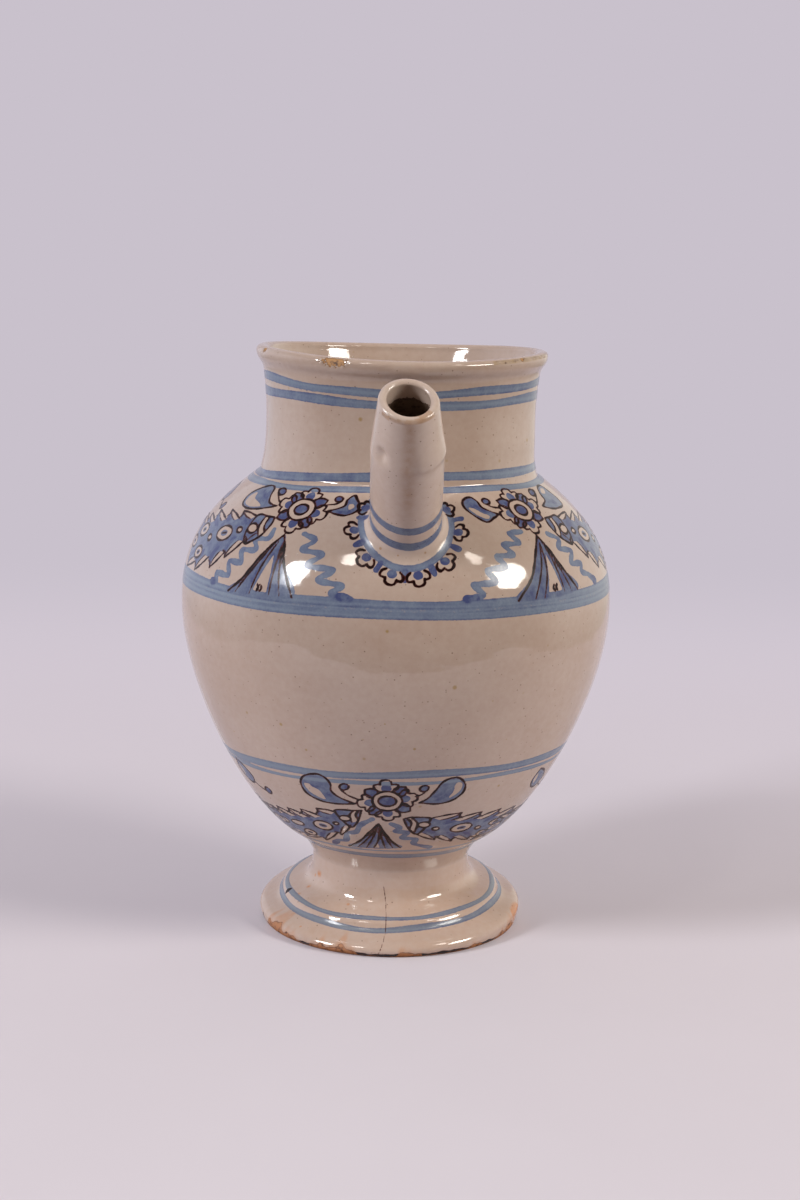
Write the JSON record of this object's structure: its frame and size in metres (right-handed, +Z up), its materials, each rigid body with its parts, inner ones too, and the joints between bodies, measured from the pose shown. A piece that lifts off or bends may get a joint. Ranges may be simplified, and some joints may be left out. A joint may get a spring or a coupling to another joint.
{
  "type": "maiolica jug",
  "caption": "Round-bellied tin-glazed pouring jug on a pedestal foot, with a wide neck, a tubular spout on the shoulder and a strap handle behind.",
  "frame": {"origin": "middle of the standing ring, on the table", "axes": "+Z up along the jug's axis, -Y towards the spout, +Y towards the handle, +X to the right when the spout faces the viewer"},
  "size_m": [0.17, 0.2274, 0.23],
  "materials": {
    "tin_glaze": "glossy warm grey-white tin glaze over earthenware, painted in cobalt blue with dark manganese outlines",
    "glazed_foot": "the same glaze, worn to brown earthenware at the standing edge",
    "luting_clay": "fired earthenware slip and luting clay, glazed over where it shows"
  },
  "bodies": {
    "root": {"foot": "glazed_foot", "foot_slip_joint": "luting_clay", "bowl": "tin_glaze", "belly_slip_joint": "luting_clay", "shoulder": "tin_glaze", "neck_slip_joint": "luting_clay", "neck": "tin_glaze", "spout": "tin_glaze", "spout_luting_coil": "luting_clay", "handle": "tin_glaze", "handle_upper_luting": "luting_clay", "handle_lower_luting": "luting_clay"}
  },
  "joints": []
}
